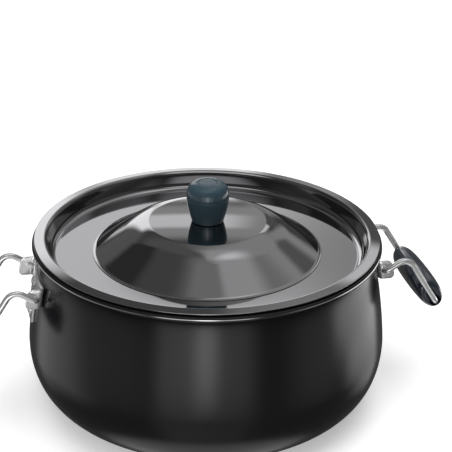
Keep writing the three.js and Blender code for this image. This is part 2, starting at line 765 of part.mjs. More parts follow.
// A pin along the grip frame's Y, from one level to another.
function pin(radius, from, to, along) {
  const shape = new THREE.CylinderGeometry(radius, radius, to - from, FASTENER_STEPS);
  return toSolid(shape.translate(0, (from + to) / 2, along));
}

// Half of a grip: 1 for the outer half, -1 for the inner half, where the screws go in.
function gripHalf(side) {
  const groove = toSolid(bar(bailPath(), WIRE_RADIUS + FIT_GAP).applyMatrix4(toGripFrame));
  const size = GRIP_LENGTH * 2;
  const keep = toSolid(box(size, size, size, 0, (side * (size + SEAT_GAP)) / 2, 0));
  let half = gripBlank().intersect(keep).subtract(groove);
  for (const along of screwLevels) {
    const head = pin(GRIP_SCREW_HEAD + FIT_GAP, -GRIP_THICKNESS, GRIP_SCREW_Y + GRIP_SCREW_HEAD_HEIGHT, along);
    const shank = pin(GRIP_SCREW_RADIUS + FIT_GAP, -GRIP_THICKNESS, GRIP_SCREW_BITE + FIT_GAP, along);
    half = half.subtract(head).subtract(shank);
  }
  return toGeometry(half).applyMatrix4(gripFrame);
}

function gripScrew(along) {
  const top = GRIP_SCREW_Y + GRIP_SCREW_HEAD_HEIGHT - SEAT_GAP;
  const head = pin(GRIP_SCREW_HEAD, GRIP_SCREW_Y, top, along);
  const shank = pin(GRIP_SCREW_RADIUS, GRIP_SCREW_Y, GRIP_SCREW_BITE, along);
  return toGeometry(head.add(shank)).applyMatrix4(gripFrame);
}

// ---------------------------------------------------------------- the two handles

for (const [side, turn] of [['right', 0], ['left', Math.PI]]) {
  const handle = new THREE.Group();
  handle.rotation.z = turn;
  model.add(handle);
  addPiece(handle, `${side}_bracket`, bracket(), polishedSteel);
  for (const { name, z } of rivetPlaces) {
    addPiece(handle, `${side}_rivet_${name}`, rivet(z), polishedSteel);
  }
  addPiece(handle, `${side}_bail_wire`, bar(bailPath(), WIRE_RADIUS), polishedSteel);
  addPiece(handle, `${side}_grip_outer`, gripHalf(1), navyPlastic);
  addPiece(handle, `${side}_grip_inner`, gripHalf(-1), navyPlastic);
  screwLevels.forEach((along, i) => {
    addPiece(handle, `${side}_grip_screw_${i + 1}`, gripScrew(along), satinSteel);
  });
}

export default model;
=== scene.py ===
"""Studio scene of a belly-shaped stovetop cooker, modelled round its packed frame.

Laid out as an add-on and run as a script. Metres, +Z up. The handles lie along X.
"""

import json
from math import atan2, ceil, cos, degrees, hypot, pi, radians, sin, sqrt, tan

import bmesh
import bpy
from bpy.props import FloatProperty, FloatVectorProperty, IntProperty, PointerProperty
from bpy.types import Operator, Panel, PropertyGroup
from mathutils import Matrix, Vector


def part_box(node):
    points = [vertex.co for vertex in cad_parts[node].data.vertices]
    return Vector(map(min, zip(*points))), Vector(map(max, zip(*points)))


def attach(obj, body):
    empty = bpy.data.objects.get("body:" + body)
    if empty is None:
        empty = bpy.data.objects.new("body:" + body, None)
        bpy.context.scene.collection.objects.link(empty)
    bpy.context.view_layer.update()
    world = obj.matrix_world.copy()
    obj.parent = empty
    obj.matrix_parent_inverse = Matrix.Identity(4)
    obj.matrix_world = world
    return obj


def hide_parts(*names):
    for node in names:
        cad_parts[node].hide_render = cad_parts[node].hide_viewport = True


bl_info = {
    "name": "Belly Cooker Studio",
    "version": (1, 0, 0),
    "blender": (4, 5, 0),
    "location": "View3D > Sidebar > Cooker",
    "description": "Builds a stovetop cooker with a domed lid and wire bails in a plain studio",
    "category": "Object",
}

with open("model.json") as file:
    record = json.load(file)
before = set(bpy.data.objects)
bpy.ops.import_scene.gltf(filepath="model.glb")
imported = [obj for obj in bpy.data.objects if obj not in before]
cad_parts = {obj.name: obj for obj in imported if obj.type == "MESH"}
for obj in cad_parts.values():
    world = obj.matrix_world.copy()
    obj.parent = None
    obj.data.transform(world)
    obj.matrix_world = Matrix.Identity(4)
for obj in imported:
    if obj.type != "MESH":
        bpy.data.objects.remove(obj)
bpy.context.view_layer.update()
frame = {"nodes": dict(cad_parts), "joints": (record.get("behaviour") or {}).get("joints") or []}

# Levels and places that the packed frame fixes.
POT_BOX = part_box("pot_body")
GASKET_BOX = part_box("lid_gasket")
KNOB_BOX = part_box("knob_body")
DOME_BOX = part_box("lid_dome")
PIVOT = next(j["pos_m"] for j in frame["joints"] if j["name"] == "right_bail_swing")
SEAT_GAP = 0.0001
FIT_GAP = 0.0003
SIDES = (("right", 0.0), ("left", pi))
SHEET_ROUNDING = 0.00035
MERGE = 1e-6

# How finely the pieces are stepped.
FOOT_STEPS = 40
SHOULDER_STEPS = 26
WALL_STEPS = 60
KNOB_STEPS = 96
KNOB_SIDE_STEPS = 24
RIVET_STEPS = 40
WIRE_SIDES = 24
WIRE_ARC_STEP = 7.0
SHEET_STEP = 0.0012
TAB_LEVELS = 14
GRIP_SIDES = 160
GRIP_RINGS = 120


# ---- properties

def plain(name, description, default):
    return FloatProperty(name=name, description=description, default=default)


def length(name, description, default):
    return FloatProperty(
        name=name, description=description, default=default, unit="LENGTH", precision=5
    )


def angle(name, description, default):
    """The default is in degrees."""
    return FloatProperty(
        name=name, description=description, default=radians(default), unit="ROTATION"
    )


def colour(name, description, default):
    return FloatVectorProperty(
        name=name, description=description, default=default, subtype="COLOR", min=0.0, max=1.0
    )


class CookerPotSizes(PropertyGroup):
    """Sizes of the pot and its base plate."""

    wall: length("Wall", "Thickness of the pot's sheet", 0.0022)
    base_radius: length("Base radius", "Flat of the pot's underside", 0.099)
    belly_radius: length("Belly radius", "Widest radius of the pot", 0.147)
    belly_height: length("Belly height", "Widest level above the pot's underside", 0.055)
    neck_radius: length("Neck radius", "Outside of the neck under the rim", 0.1338)
    neck_drop: length("Neck drop", "Neck below the top of the rim", 0.007)
    rim_radius: length("Rim radius", "Outside of the rolled rim", 0.1416)
    rim_roll: length("Rim roll", "Radius of the rolled edge", 0.0021)
    # The band that this share sets on the roll is a painted highlight: there the roll takes the
    # lid's polished finish to stand in for the bright line the light draws along the bead.
    highlight_band: plain("Highlight band", "Share of the roll's upper half turned bright", 0.5)
    plate_radius: length("Plate radius", "Base plate bonded under the pot", 0.093)
    shoulder_power: plain("Shoulder", "Fullness above the belly", 1.3)
    foot_power: plain("Foot", "Fullness below the belly", 2.25)
    steps: IntProperty(name="Steps", description="Facets round the turned pieces", default=192)


class CookerLidSizes(PropertyGroup):
    """Sizes of the recessed lid and its dome."""

    radius: length("Radius", "Outside of the flange", 0.140)
    sheet: length("Sheet", "Thickness of the pressing", 0.0014)
    flange_width: length("Flange width", "Breadth of the flange", 0.009)
    flange_lean: angle("Flange lean", "Fall of the flange towards its outer edge", 4.5)
    land: length("Land", "Narrow ring that falls inwards from the flange", 0.001)
    land_lean: angle("Land lean", "Fall of that ring", 8.0)
    chamfer_width: length("Chamfer width", "Bevel inside the flange", 0.0016)
    chamfer_depth: length("Chamfer depth", "Depth of that bevel", 0.0018)
    trough_depth: length("Trough depth", "Trough floor below the flange", 0.0145)
    trough_taper: length("Trough taper", "Lean of the trough's wall", 0.003)
    cove: length("Cove", "Where the wall turns into the floor", 0.005)
    dome_radius: length("Dome radius", "Foot of the dome", 0.0912)
    dome_cove: length("Dome cove", "Where the cone turns out into the brim", 0.0018)
    brim_radius: length("Brim radius", "Edge of the dome's brim", 0.0932)
    brim_edge: length("Brim edge", "Thickness of the brim at its edge", 0.0004)
    steam_radius: length("Steam radius", "Opening in the floor under the dome", 0.084)
    disc_radius: length("Disc radius", "Flat top of the dome", 0.047)
    shoulder_radius: length("Shoulder radius", "Where the shoulder becomes the cone", 0.066)
    shoulder_drop: length("Shoulder drop", "That place below the flat top", 0.0075)
    crease: length("Crease", "Drop of the shoulder's first stretch", 0.0012)
    screw_hole: length("Screw hole", "Hole for the knob's screw", 0.0023)
    gasket_inset: length("Gasket inset", "Gasket's edge inside the rim's", 0.004)
    gasket_leg: length("Gasket leg", "Depth of the leg in the mouth", 0.006)


class CookerKnobSizes(PropertyGroup):
    """Sizes of the two-part knob."""

    base_radius: length("Base radius", "Foot of the knob", 0.0129)
    bulge: length("Bulge", "Fullness of the side, a third of the way up", 0.0022)
    radius: length("Radius", "Widest radius, at the parting line", 0.0172)
    height: length("Height", "Knob above the lid's flat", 0.0332)
    split: length("Split", "Parting line above the lid's flat", 0.0212)
    brow: length("Brow", "Cap drawn in at the brow", 0.0022)
    crown: length("Crown", "Brow below the cap's top", 0.003)
    edge: length("Edge", "Rounding beside the parting line", 0.0005)
    inset_radius: length("Inset radius", "Round plate in the top", 0.0076)
    inset_depth: length("Inset depth", "Depth of its recess", 0.0012)
    spigot_radius: length("Spigot radius", "Tongue of the cap", 0.0097)
    spigot_length: length("Spigot length", "Length of that tongue", 0.003)


class CookerHandleSizes(PropertyGroup):
    """Sizes of the brackets, bails and grips."""

    sheet: length("Sheet", "Thickness of the bracket", 0.0016)
    tab_width: length("Tab width", "Riveted upright part", 0.026)
    tab_height: length("Tab height", "Height of that part", 0.039)
    band_height: length("Band height", "Cross band and ears", 0.016)
    corner: length("Corner", "Rounded corners of the tab", 0.004)
    ear_span: length("Ear span", "Over the outer faces of the ears", 0.062)
    ear_reach: length("Ear reach", "Ear beyond the pivot", 0.008)
    ear_round: length("Ear round", "Rounded corners of the ears", 0.0045)
    ear_fold: length("Ear fold", "Radius where the band folds into an ear", 0.0028)
    rivet_spacing: length("Rivet spacing", "Between the two rivets", 0.025)
    rivet_head: length("Rivet head", "Radius of a rivet's head", 0.0038)
    rivet_dome: length("Rivet dome", "Height of the outer head", 0.0022)
    wire: length("Wire", "Radius of the wire", 0.0025)
    leg_clearance: length("Leg clearance", "Between a leg and its ear", 0.001)
    tip: length("Tip", "Wire tip past the ear", 0.0024)
    arch_reach: length("Arch reach", "Top of the arch out from the pivot", 0.0185)
    arch_rise: length("Arch rise", "Top of the arch above the pivot", 0.0115)
    leg: length("Leg", "From the arch to the cross bar", 0.054)
    slope: angle("Slope", "Leg below level", 57.5)
    arch_bend: length("Arch bend", "Bend radius at the arch", 0.009)
    corner_bend: length("Corner bend", "Bend radius at the cross bar", 0.007)
    grip_length: length("Grip length", "Along the cross bar", 0.071)
    grip_depth: length("Grip depth", "Along the legs", 0.033)
    grip_thickness: length("Grip thickness", "Through both halves", 0.0215)
    grip_lip: length("Grip lip", "Grip beyond the cross bar's axis", 0.005)
    grip_flat: plain("Grip flat", "Bluntness of the grip's ends", 0.18)
    pocket: length("Pocket", "Half width of the hole where the wire enters", 0.0046)


class CookerColours(PropertyGroup):
    """Colours of the finishes."""

    shell: colour("Shell", "Dark anodised pot", (0.0075, 0.0075, 0.0083))
    lid: colour("Lid", "Polished tinted lid", (0.42, 0.42, 0.43))
    steel: colour("Steel", "Bright steel handles", (0.86, 0.86, 0.86))
    plate: colour("Plate", "Satin base plate", (0.5, 0.5, 0.51))
    knob: colour("Knob", "Satin knob", (0.036, 0.063, 0.08))
    grip: colour("Grip", "Glossy grips", (0.02, 0.026, 0.037))
    rubber: colour("Rubber", "Gasket", (0.012, 0.012, 0.012))
    brass: colour("Brass", "Bush in the knob", (0.6, 0.42, 0.16))
    floor: colour("Floor", "Studio floor", (0.85, 0.85, 0.85))


class CookerStudio(PropertyGroup):
    """Camera, room and floor."""

    distance: length("Distance", "Camera to the middle of the flange", 1.12)
    azimuth: angle("Azimuth", "Camera turned round the pot", -12.0)
    elevation: angle("Elevation", "Camera above level", 24.92)
    roll: angle("Roll", "Camera rolled", 1.02)
    aim_right: length("Aim right", "Aim beside the middle of the flange", 0.01501)
    aim_up: length("Aim up", "Aim above it", 0.00503)
    lens: FloatProperty(name="Lens", description="Focal length", default=109.9, unit="CAMERA")
    panels: plain("Panels", "Brightness of the room's panels and walls", 1.0)
    room: plain("Room", "Brightness of the rest of the room", 0.08)
    lift: plain("Lift", "Brightness added to the floor near the pot, as seen", 0.4)


GROUPS = {
    "cooker_pot": CookerPotSizes,
    "cooker_lid": CookerLidSizes,
    "cooker_knob": CookerKnobSizes,
    "cooker_handle": CookerHandleSizes,
    "cooker_colours": CookerColours,
    "cooker_studio": CookerStudio,
}


# ---- outlines

def arc(centre, radius, start, end, steps):
    """Points of a round stretch; the angles are in degrees."""
    middle = Vector(centre)
    turns = [radians(start + (end - start) * i / steps) for i in range(steps + 1)]
    return [middle + radius * Vector((cos(turn), sin(turn))) for turn in turns]


def bend(start, corner, end, steps):
    """Points of a curve that leaves start towards the corner and arrives at end from it."""
    a, b, c = Vector(start), Vector(corner), Vector(end)
    return [a.lerp(b, i / steps).lerp(b.lerp(c, i / steps), i / steps) for i in range(steps + 1)]


def rounded(corner, before, after, steps):
    """Points round a corner, from a step before it to a step after it."""
    at = Vector(corner)
    return bend(at + Vector(before), at, at + Vector(after), steps)


def offset(points, distance):
    """An open outline moved to its left as it is walked."""
    moved = []
    for i, here in enumerate(points):
        into = (here - points[max(i - 1, 0)]).normalized()
        out = (points[min(i + 1, len(points) - 1)] - here).normalized()
        along = (into + out).normalized()
        share = 1.0 if i in (0, len(points) - 1) else along.dot(out)
        moved.append(here + Vector((-along.y, along.x)) * (distance / share))
    return moved


def belly_curve(pot, end_radius, end_z, power, steps):
    """Half of the belly's outline, from its widest level to the neck or the underside."""
    middle = POT_BOX[0][2] + pot.belly_height
    points = []
    for i in range(steps + 1):
        turn = i / steps * pi / 2
        across = abs(cos(turn)) ** (2 / power)
        along = sin(turn) ** (2 / power)
        radius = end_radius + (pot.belly_radius - end_radius) * across
        points.append(Vector((radius, middle + (end_z - middle) * along)))
    return points


def pot_outside(pot):
    """The pot's outside from the middle of its underside up to the neck."""
    floor_z, rim_z = POT_BOX[0][2], POT_BOX[1][2]
    foot = belly_curve(pot, pot.base_radius, floor_z, pot.foot_power, FOOT_STEPS)[::-1]
    neck_z = rim_z - pot.neck_drop
    shoulder = belly_curve(pot, pot.neck_radius, neck_z, pot.shoulder_power, SHOULDER_STEPS)
    return [Vector((0.0, floor_z)), *foot, *shoulder[1:]]


def wall_radius(pot, z):
    """The pot's outside radius at a level above its widest one."""
    neck_z = POT_BOX[1][2] - pot.neck_drop
    shoulder = belly_curve(pot, pot.neck_radius, neck_z, pot.shoulder_power, WALL_STEPS)
    for low, high in zip(shoulder, shoulder[1:]):
        if low.y <= z <= high.y:
            return low.lerp(high, (z - low.y) / (high.y - low.y)).x
    raise ValueError(f"level {z} is off the pot's shoulder")


# ---- meshes

def spun(outline, steps, closed):
    """An outline of radius and height turned round Z."""
    bm = bmesh.new()
    verts = [bm.verts.new((p[0], 0.0, p[1])) for p in outline]
    pairs = list(zip(verts, verts[1:]))
    if closed:
        pairs.append((verts[-1], verts[0]))
    edges = [bm.edges.new(pair) for pair in pairs]
    bmesh.ops.spin(
        bm,
        geom=verts + edges,
        cent=(0, 0, 0),
        axis=(0, 0, 1),
        angle=2 * pi,
        steps=steps,
        use_merge=True,
    )
    bmesh.ops.remove_doubles(bm, verts=bm.verts, dist=MERGE)
    bmesh.ops.recalc_face_normals(bm, faces=bm.faces)
    return bm


def new_object(name, data):
    made = bpy.data.objects.new(name, data)
    bpy.context.scene.collection.objects.link(made)
    return made


def piece(name, bm, body, finish, node, sharp=40.0, turn=0.0):
    """Puts a mesh into the scene as a piece that rides on a body and stands for a CAD node."""
    around_z = Matrix.Rotation(turn, 3, "Z")
    bmesh.ops.rotate(bm, verts=bm.verts, cent=(0, 0, 0), matrix=around_z)
    mesh = bpy.data.meshes.new(name)
    bm.to_mesh(mesh)
    bm.free()
    mesh.shade_smooth()
    mesh.set_sharp_from_angle(angle=radians(sharp))
    mesh.materials.append(material_named(finish))
    made = new_object(name, mesh)
    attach(made, body)
    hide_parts(node)
    return made


def cut(bm, point, normal, clear=False):
    """Cuts a mesh by a plane, and clears what lies in front of it if asked."""
    bmesh.ops.bisect_plane(
        bm,
        geom=bm.verts[:] + bm.edges[:] + bm.faces[:],
        plane_co=point,
        plane_no=normal,
        clear_outer=clear,
    )


def extruded(bm, edges, step):
    """Extrudes a ring of edges by a step and returns the new ring."""
    grown = bmesh.ops.extrude_edge_only(bm, edges=edges)["geom"]
    verts = {g for g in grown if isinstance(g, bmesh.types.BMVert)}
    bmesh.ops.translate(bm, verts=list(verts), vec=step)
    grown_edges = [g for g in grown if isinstance(g, bmesh.types.BMEdge)]
    return [e for e in grown_edges if all(v in verts for v in e.verts)]


def wire_along(bm, corners, radius):
    """A closed round bar through corners, each a place and a bend radius."""
    here = corners[0][0]
    heading = (corners[1][0] - here).normalized()
    place = Matrix.Translation(here) @ heading.to_track_quat("Z", "Y").to_matrix().to_4x4()
    ring = bmesh.ops.create_circle(bm, radius=radius, segments=WIRE_SIDES, matrix=place)
    edges = list({edge for vert in ring["verts"] for edge in vert.link_edges})
    bmesh.ops.holes_fill(bm, edges=edges, sides=0)
    for i in range(1, len(corners) - 1):
        at, bend_radius = corners[i]
        back = (corners[i - 1][0] - at).normalized()
        ahead = (corners[i + 1][0] - at).normalized()
        half = back.angle(ahead) / 2
        turn = pi - 2 * half
        reach = bend_radius / tan(half)
        edges = extruded(bm, edges, at + back * reach - here)
        swept = bmesh.ops.spin(
            bm,
            geom=edges,
            cent=at + (back + ahead).normalized() * (bend_radius / sin(half)),
            axis=back.cross(ahead).normalized(),
            angle=-turn,
            steps=ceil(degrees(turn) / WIRE_ARC_STEP),
        )["geom_last"]
        edges = [g for g in swept if isinstance(g, bmesh.types.BMEdge)]
        here = at + ahead * reach
    edges = extruded(bm, edges, corners[-1][0] - here)
    bmesh.ops.holes_fill(bm, edges=edges, sides=0)
    bmesh.ops.remove_doubles(bm, verts=bm.verts, dist=MERGE / 10)
    bmesh.ops.recalc_face_normals(bm, faces=bm.faces)


# ---- materials

def added(tree, kind, inputs, **settings):
    """A new node whose inputs are sockets to link or plain values."""
    node = tree.nodes.new(f"ShaderNode{kind}")
    for name, value in settings.items():
        setattr(node, name, value)
    for place, value in inputs.items():
        if isinstance(value, bpy.types.NodeSocket):
            tree.links.new(value, node.inputs[place])
        else:
            node.inputs[place].default_value = value
    return node


def combined(tree, operation, first, second=0.0):
    """The result of a Math node on two sockets or plain values."""
    return added(tree, "Math", {0: first, 1: second}, operation=operation).outputs[0]


def ramped(tree, value, low, high, start, end):
    """A value eased from start to end as another goes from low to high."""
    limits = {"From Min": low, "From Max": high, "To Min": start, "To Max": end}
    ramp = added(tree, "MapRange", {"Value": value, **limits}, interpolation_type="SMOOTHSTEP")
    return ramp.outputs["Result"]


def noise_at(tree, place, scale, detail):
    noise = added(tree, "TexNoise", {"Vector": place, "Scale": scale, "Detail": detail})
    return noise.outputs["Fac"]


def even_noise(tree, scale, detail):
    """Noise on the piece's own coordinates."""
    place = tree.nodes.new("ShaderNodeTexCoord").outputs["Object"]
    return noise_at(tree, place, scale, detail)


def turned_noise(tree, scale, detail):
    """Noise on distance from the axis and height, drawn out round it, for turned metal."""
    along = 0.002
    place = tree.nodes.new("ShaderNodeTexCoord").outputs["Object"]
    split = added(tree, "SeparateXYZ", {0: place})
    x, y, z = (split.outputs[axis] for axis in "XYZ")
    squares = [combined(tree, "MULTIPLY", side, side) for side in (x, y)]
    radius = combined(tree, "SQRT", combined(tree, "ADD", *squares))
    turn = combined(tree, "MULTIPLY", combined(tree, "ARCTAN2", y, x), along)
    join = added(tree, "CombineXYZ", {"X": radius, "Y": turn, "Z": z})
    return noise_at(tree, join.outputs[0], scale, detail)


def shader_of(name, base, sockets):
    """A new material with its Principled shader set, its node tree and that shader."""
    material = bpy.data.materials.new(name)
    material.use_nodes = True
    shader = material.node_tree.nodes["Principled BSDF"]
    shader.inputs["Base Color"].default_value = (*base, 1.0)
    for socket, value in sockets.items():
        shader.inputs[socket].default_value = value
    return material, material.node_tree, shader


# Each finish: its colour, the record's slot, its shader's values, the noise of its bump (kind,
# scale, detail) with strength and height, the cloud in its roughness (scale, detail, lowest,
# highest), and how far that cloud darkens and lightens the colour.
FINISHES = {
    # dark anodised aluminium with a fine grain
    "dark_anodised": {
        "colour": "shell", "slot": "pot_shell",
        "sockets": {"Roughness": 0.2, "Specular IOR Level": 0.36},
        "bump": (even_noise, 900.0, 2.0, 0.05, 0.00005),
        "cloud": (9.0, 3.0, 0.18, 0.23),
        "tint": (0.85, 1.15),
    },
    # polished, slightly tinted metal with a trace of turning marks
    "polished_lid": {
        "colour": "lid", "slot": "lid_metal",
        "sockets": {"Roughness": 0.1, "Metallic": 1.0},
        "bump": (turned_noise, 900.0, 2.0, 0.02, 0.00002),
        "cloud": (14.0, 3.0, 0.03, 0.06),
    },
    # bright steel of the brackets, rivets and wires
    "bright_steel": {
        "colour": "steel", "slot": "polished_steel",
        "sockets": {"Roughness": 0.22, "Metallic": 0.76},
        "cloud": (60.0, 2.0, 0.19, 0.25),
    },
    # satin steel of the base plate and the small fasteners
    "satin_steel": {
        "colour": "plate", "slot": "satin_steel",
        "sockets": {"Roughness": 0.35, "Metallic": 1.0},
        "bump": (turned_noise, 1500.0, 2.0, 0.2, 0.00003),
        "cloud": (60.0, 3.0, 0.3, 0.42),
    },
    # satin moulded plastic of the knob
    "navy_satin": {
        "colour": "knob", "slot": "navy_plastic",
        "sockets": {"Roughness": 0.3},
        "bump": (even_noise, 1400.0, 2.0, 0.06, 0.00004),
        "cloud": (70.0, 3.0, 0.15, 0.21),
    },
    # glossy moulded plastic of the grips
    "navy_gloss": {
        "colour": "grip", "slot": "navy_plastic",
        "sockets": {"Roughness": 0.08, "Coat Weight": 1.0, "Coat Roughness": 0.05},
        "cloud": (60.0, 3.0, 0.06, 0.14),
    },
    # matt rubber of the gasket and the seat washer
    "black_rubber": {
        "colour": "rubber", "slot": "black_rubber",
        "sockets": {"Roughness": 0.6},
        "bump": (even_noise, 700.0, 3.0, 0.2, 0.0001),
    },
    # turned brass of the bush, a CAD node that needs no slot
    "turned_brass": {
        "colour": "brass",
        "sockets": {"Roughness": 0.3, "Metallic": 1.0},
        "cloud": (300.0, 2.0, 0.22, 0.38),
    },
}


def material_named(finish):
    """The material of a finish, made when it is first asked for."""
    if finish in bpy.data.materials:
        return bpy.data.materials[finish]
    recipe = FINISHES[finish]
    base = getattr(bpy.context.scene.cooker_colours, recipe["colour"])
    material, tree, shader = shader_of(finish, base, recipe["sockets"])
    if "bump" in recipe:
        noise, scale, detail, strength, height = recipe["bump"]
        marks = noise(tree, scale, detail)
        bump = added(tree, "Bump", {"Height": marks, "Strength": strength, "Distance": height})
        tree.links.new(bump.outputs["Normal"], shader.inputs["Normal"])
    if "cloud" in recipe:
        scale, detail, low, high = recipe["cloud"]
        cloud = even_noise(tree, scale, detail)
        spread = added(tree, "MapRange", {"Value": cloud, "To Min": low, "To Max": high})
        tree.links.new(spread.outputs["Result"], shader.inputs["Roughness"])
    if "tint" in recipe:
        dark, light = (
            (*(min(channel * factor, 1.0) for channel in base), 1.0) for factor in recipe["tint"]
        )
        ends = {"Factor": cloud, "A": dark, "B": light}
        mixed = added(tree, "Mix", ends, data_type="RGBA")
        tree.links.new(mixed.outputs["Result"], shader.inputs["Base Color"])
    return material


# ---- pot

class COOKER_OT_pot_shell(Operator):
    """Spin the belly-shaped pot with its rolled rim"""

    bl_idname = "cooker.pot_shell"
    bl_label = "Pot Shell"

    def execute(self, context):
        pot = context.scene.cooker_pot
        rim_z = POT_BOX[1][2]
        outside = pot_outside(pot)
        mouth = pot.neck_radius - pot.wall
        roll_radius, roll_z = pot.rim_radius - pot.rim_roll, rim_z - pot.rim_roll
        roll = arc((roll_radius, roll_z), pot.rim_roll, -150, 90, 24)
        neck_bend = bend(outside[-2], outside[-1], roll[0], 8)[1:-1]
        lip = rounded((mouth, rim_z), (pot.rim_roll, 0.0), (0.0, -pot.rim_roll), 8)
        inside = offset(outside, pot.wall)[::-1]
        inside[-1].x = 0.0
        outline = [*outside[:-1], *neck_bend, *roll, *lip, *inside]
        bm = spun(outline, pot.steps, closed=False)
        # A narrow band round the rolled rim takes the lid's polished finish. This is a painted
        # highlight that stands in for the bright line the light draws along the bead.
        highlight_top = roll_z + pot.rim_roll * pot.highlight_band
        for face in bm.faces:
            middle = face.calc_center_median()
            if middle.xy.length > roll_radius and roll_z < middle.z < highlight_top:
                face.material_index = 1
        shell = piece("pot_shell", bm, "pot", "dark_anodised", "pot_body")
        shell.data.materials.append(material_named("polished_lid"))
        return {"FINISHED"}


class COOKER_OT_base_plate(Operator):
    """Spin the base plate with its rounded edge"""

    bl_idname = "cooker.base_plate"
    bl_label = "Base Plate"

    def execute(self, context):
        pot = context.scene.cooker_pot
        low_z, high_z = (corner[2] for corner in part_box("base_plate"))
        edge = 0.0008
        outline = [
            (0.0, low_z),
            *arc((pot.plate_radius - edge, low_z + edge), edge, -90, 0, 6),
            (pot.plate_radius, high_z),
            (0.0, high_z),
        ]
        bm = spun(outline, pot.steps, closed=False)
        piece("base_disc", bm, "pot", "satin_steel", "base_plate", 60.0)
        return {"FINISHED"}


# ---- lid

def flange_level(lid):
    return GASKET_BOX[1][2] + SEAT_GAP + lid.sheet


def pan_face(lid, lean):
    """The pan's upper face, from its opening out to the edge of the leaning flange."""
    flange_z = flange_level(lid)
    floor_z = flange_z - lid.trough_depth
    flange_inner = lid.radius - lid.flange_width
    wall_top = flange_inner - lid.chamfer_width
    wall_foot = wall_top - lid.trough_taper
    cove_top = wall_foot + lid.trough_taper * lid.cove / lid.trough_depth
    land_top = Vector((flange_inner + lid.land, flange_z))
    chamfer_top = Vector((flange_inner, flange_z - lid.land * tan(lid.land_lean)))
    chamfer_foot = Vector((wall_top, flange_z - lid.chamfer_depth))
    ease = 0.35
    soft = 0.0008

    def flange_at(radius):
        return Vector((radius, flange_z - (radius - land_top.x) * tan(lean)))

    before_chamfer = chamfer_foot - Vector((soft / 4, soft))
    on_chamfer = [chamfer_foot.lerp(chamfer_top, share) for share in (ease, 1 - ease)]
    on_land = [chamfer_top.lerp(land_top, ease), land_top.lerp(chamfer_top, ease / 2)]
    return [
        Vector((lid.steam_radius, floor_z)),
        *rounded((wall_foot, floor_z), (-lid.cove, 0.0), (cove_top - wall_foot, lid.cove), 12),
        *bend(before_chamfer, chamfer_foot, on_chamfer[0], 6),
        *bend(on_chamfer[1], chamfer_top, on_land[0], 6),
        *bend(on_land[1], land_top, flange_at(land_top.x + soft / 4), 3),
        flange_at(land_top.x + soft),
        flange_at(lid.radius - lid.flange_width / 2),
        flange_at(lid.radius - lid.sheet / 2),
    ]


def dome_outline(lid):
    """The dome as a closed outline: upper face, the brim's thin edge and hollow underside."""
    disc_z = DOME_BOX[1][2]
    shoulder_z = disc_z - lid.shoulder_drop
    crease_radius = (lid.disc_radius + lid.shoulder_radius) / 2
    rest_z = flange_level(lid) - lid.trough_depth + SEAT_GAP
    foot = Vector((lid.dome_radius, rest_z + lid.brim_edge))
    cone = foot + (Vector((lid.shoulder_radius, shoulder_z)) - foot).normalized() * lid.dome_cove
    shoulder = ((crease_radius, disc_z - lid.crease), (lid.shoulder_radius, shoulder_z))
    crown = [
        Vector((lid.screw_hole, disc_z)),
        *bend((lid.disc_radius, disc_z), *shoulder, 28),
        cone,
    ]
    inside = offset(crown, -lid.sheet)
    fall = (inside[-1] - inside[-2]).normalized()
    inside.append(inside[-1] + fall * ((rest_z - inside[-1].y) / fall.y))
    turn = lid.brim_edge / 2
    edge = arc((lid.brim_radius - turn, rest_z + turn), turn, 90, -90, 6)
    brim = bend(cone, foot, edge[0] - Vector((turn, 0.0)), 12)[1:]
    return [*crown, *brim, *edge, *reversed(inside)]


class COOKER_OT_lid(Operator):
    """Spin the lid: the pan with its trough and flange, and the dome that stands in it"""

    bl_idname = "cooker.lid"
    bl_label = "Lid"

    def execute(self, context):
        lid = context.scene.cooker_lid
        steps = context.scene.cooker_pot.steps
        face = pan_face(lid, lid.flange_lean)
        underside = offset(pan_face(lid, 0.0), -lid.sheet)[::-1]
        edge_middle = (face[-1] + underside[0]) / 2
        edge = arc(edge_middle, (face[-1].y - underside[0].y) / 2, 80, -80, 10)
        bm = spun([*face, *edge, *underside], steps, closed=True)
        piece("lid_trough", bm, "lid", "polished_lid", "lid_pan", 50.0)
        bm = spun(dome_outline(lid), steps, closed=True)
        piece("lid_crown", bm, "lid", "polished_lid", "lid_dome", 50.0)
        return {"FINISHED"}


class COOKER_OT_gasket(Operator):
    """Spin the gasket that lies between the rim and the flange"""

    bl_idname = "cooker.gasket"
    bl_label = "Gasket"

    def execute(self, context):
        lid = context.scene.cooker_lid
        pot = context.scene.cooker_pot
        bottom, top = POT_BOX[1][2] + SEAT_GAP, GASKET_BOX[1][2]
        leg_foot = bottom - lid.gasket_leg
        leg_outer = pot.neck_radius - pot.wall - FIT_GAP
        chamfer_z = flange_level(lid) - lid.chamfer_depth
        wall_top = lid.radius - lid.flange_width - lid.chamfer_width
        lean = lid.trough_taper / (lid.trough_depth - lid.chamfer_depth)
        across = lid.sheet * hypot(1.0, lean)

        def inner_at(z):
            return wall_top - (chamfer_z - z) * lean + across + FIT_GAP

        outer = pot.rim_radius - lid.gasket_inset
        half = (top - bottom) / 2
        roll = pot.rim_roll
        outline = [
            (lid.radius - lid.flange_width + lid.sheet + FIT_GAP, top),
            *arc((outer - half, bottom + half), half, 90, -90, 8),
            *rounded((leg_outer, bottom), (roll, 0.0), (0.0, -roll), 6),
            (leg_outer, leg_foot),
            (inner_at(leg_foot), leg_foot),
            (inner_at(bottom - roll), bottom - roll),
        ]
        bm = spun(outline, pot.steps, closed=True)
        piece("gasket_ring", bm, "lid", "black_rubber", "lid_gasket")
        return {"FINISHED"}


# ---- knob

